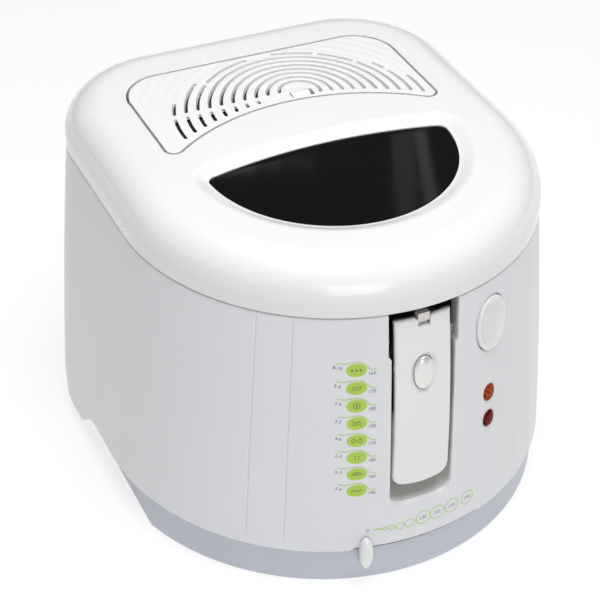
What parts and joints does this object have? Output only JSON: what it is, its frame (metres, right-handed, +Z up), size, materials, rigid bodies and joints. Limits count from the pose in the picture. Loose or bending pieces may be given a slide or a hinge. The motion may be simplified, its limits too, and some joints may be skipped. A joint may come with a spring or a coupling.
{
  "type": "deep fryer",
  "caption": "White household deep fryer with a hinged windowed lid, slotted filter cover, folding basket handle, release buttons, lamps and a sliding thermostat.",
  "frame": {"origin": "centre of the bounding box's footprint, on the plane the feet stand on", "axes": "+Z up, -Y the front with the handle and controls, +Y the rear with the hinge"},
  "size_m": [0.3008, 0.3308, 0.2308],
  "materials": {
    "white_plastic": "satin moulded",
    "grey_plastic": "satin moulded",
    "gloss_white": "glossy moulded",
    "button_white": "glossy moulded",
    "inner_plastic": "plain moulded",
    "black_plastic": "plain moulded",
    "ceramic_plastic": "heat-resistant moulded",
    "catch_plastic": "translucent moulded",
    "dark_frame": "folded steel, dark coated",
    "button_metal": "pearl metallic",
    "steel": "zinc plated",
    "sheet_steel": "plain sheet",
    "cast_aluminium": "as cast",
    "coated_bowl": "non-stick coated",
    "wire_steel": "plated wire",
    "filter_mesh": "woven pad",
    "carbon_pad": "felt",
    "rubber": "moulded",
    "silicone": "moulded",
    "lens_red": "clear coloured",
    "lens_orange": "clear coloured",
    "bulb_glass": "clear",
    "window_glass": "dark tinted"
  },
  "bodies": {
    "body": {"body_shell": "white_plastic", "base_pan": "grey_plastic", "rubber_feet": "rubber", "base_screws": "steel", "top_collar": "inner_plastic", "oil_bowl": "coated_bowl", "heating_ring": "cast_aluminium", "heat_shield": "sheet_steel", "thermostat": "ceramic_plastic", "thermal_cutout": "ceramic_plastic", "terminal_block": "ceramic_plastic", "cord_gland": "black_plastic", "lamp_lens_red": "lens_red", "lamp_lens_orange": "lens_orange", "lamp_holder": "inner_plastic", "neon_bulbs": "bulb_glass", "button_housing": "inner_plastic", "handle_bracket": "steel", "handle_pin": "steel", "hinge_bracket": "white_plastic", "hinge_pin": "steel", "hinge_screws": "steel", "collar_screws": "steel", "button_spring": "steel"},
    "lid": {"lid_shell": "gloss_white", "lid_liner": "inner_plastic", "window_glass": "window_glass", "window_seal": "rubber", "lid_gasket": "silicone", "lid_catch": "inner_plastic", "hinge_leaf": "gloss_white", "liner_screws": "steel", "grease_filter": "filter_mesh", "carbon_filter": "carbon_pad"},
    "filter_cover": {"filter_cover": "gloss_white"},
    "lid_button": {"release_button": "button_white", "latch_hook": "steel"},
    "handle": {"handle_cover": "gloss_white", "handle_frame": "dark_frame", "handle_button_spring": "steel"},
    "handle_button": {"handle_button": "button_metal"},
    "handle_catch": {"handle_catch": "catch_plastic"},
    "basket": {"basket": "wire_steel", "basket_lift_arms": "wire_steel"},
    "slider": {"slider_knob": "button_white", "slider_arm": "steel", "thermostat_spindle": "steel"}
  },
  "joints": [
    {"name": "lid_hinge", "type": "hinge", "parent": "body", "child": "lid", "pos_m": [0, 0.15987, 0.205], "axis": [-1, 0, 0], "range_deg": [0, 80]},
    {"name": "cover_lift", "type": "slide", "parent": "lid", "child": "filter_cover", "axis": [0, 0, 1], "range_m": [0, 0.06]},
    {"name": "lid_button_push", "type": "slide", "parent": "body", "child": "lid_button", "axis": [-0.3616, 0.9323, 0], "range_m": [0, 0.004], "stiffness_N_per_m": 900, "springref_m": -0.003, "deforming": ["button_spring"]},
    {"name": "handle_fold", "type": "hinge", "parent": "body", "child": "handle", "pos_m": [0, -0.12323, 0.168], "axis": [-1, 0, 0], "range_deg": [0, 90]},
    {"name": "handle_button_push", "type": "slide", "parent": "handle", "child": "handle_button", "axis": [0, 0.9937, -0.1121], "range_m": [0, 0.003], "stiffness_N_per_m": 700, "springref_m": -0.002, "deforming": ["handle_button_spring"]},
    {"name": "handle_catch_slide", "type": "slide", "parent": "handle", "child": "handle_catch", "axis": [0, -0.1121, -0.9937], "range_m": [0, 0.002]},
    {"name": "basket_lift", "type": "slide", "parent": "body", "child": "basket", "axis": [0, 0, 1], "range_m": [0, 0.03]},
    {"name": "slider_turn", "type": "hinge", "parent": "body", "child": "slider", "pos_m": [0, -0.01123, 0.03], "axis": [0, 0, 1], "range_deg": [0, 28]}
  ],
  "couplings": [
    {"joint": "basket_lift", "follows": "handle_fold", "m_per_rad": 0.019099},
    {"joint": "handle_catch_slide", "follows": "handle_button_push", "ratio": 0.6666}
  ]
}
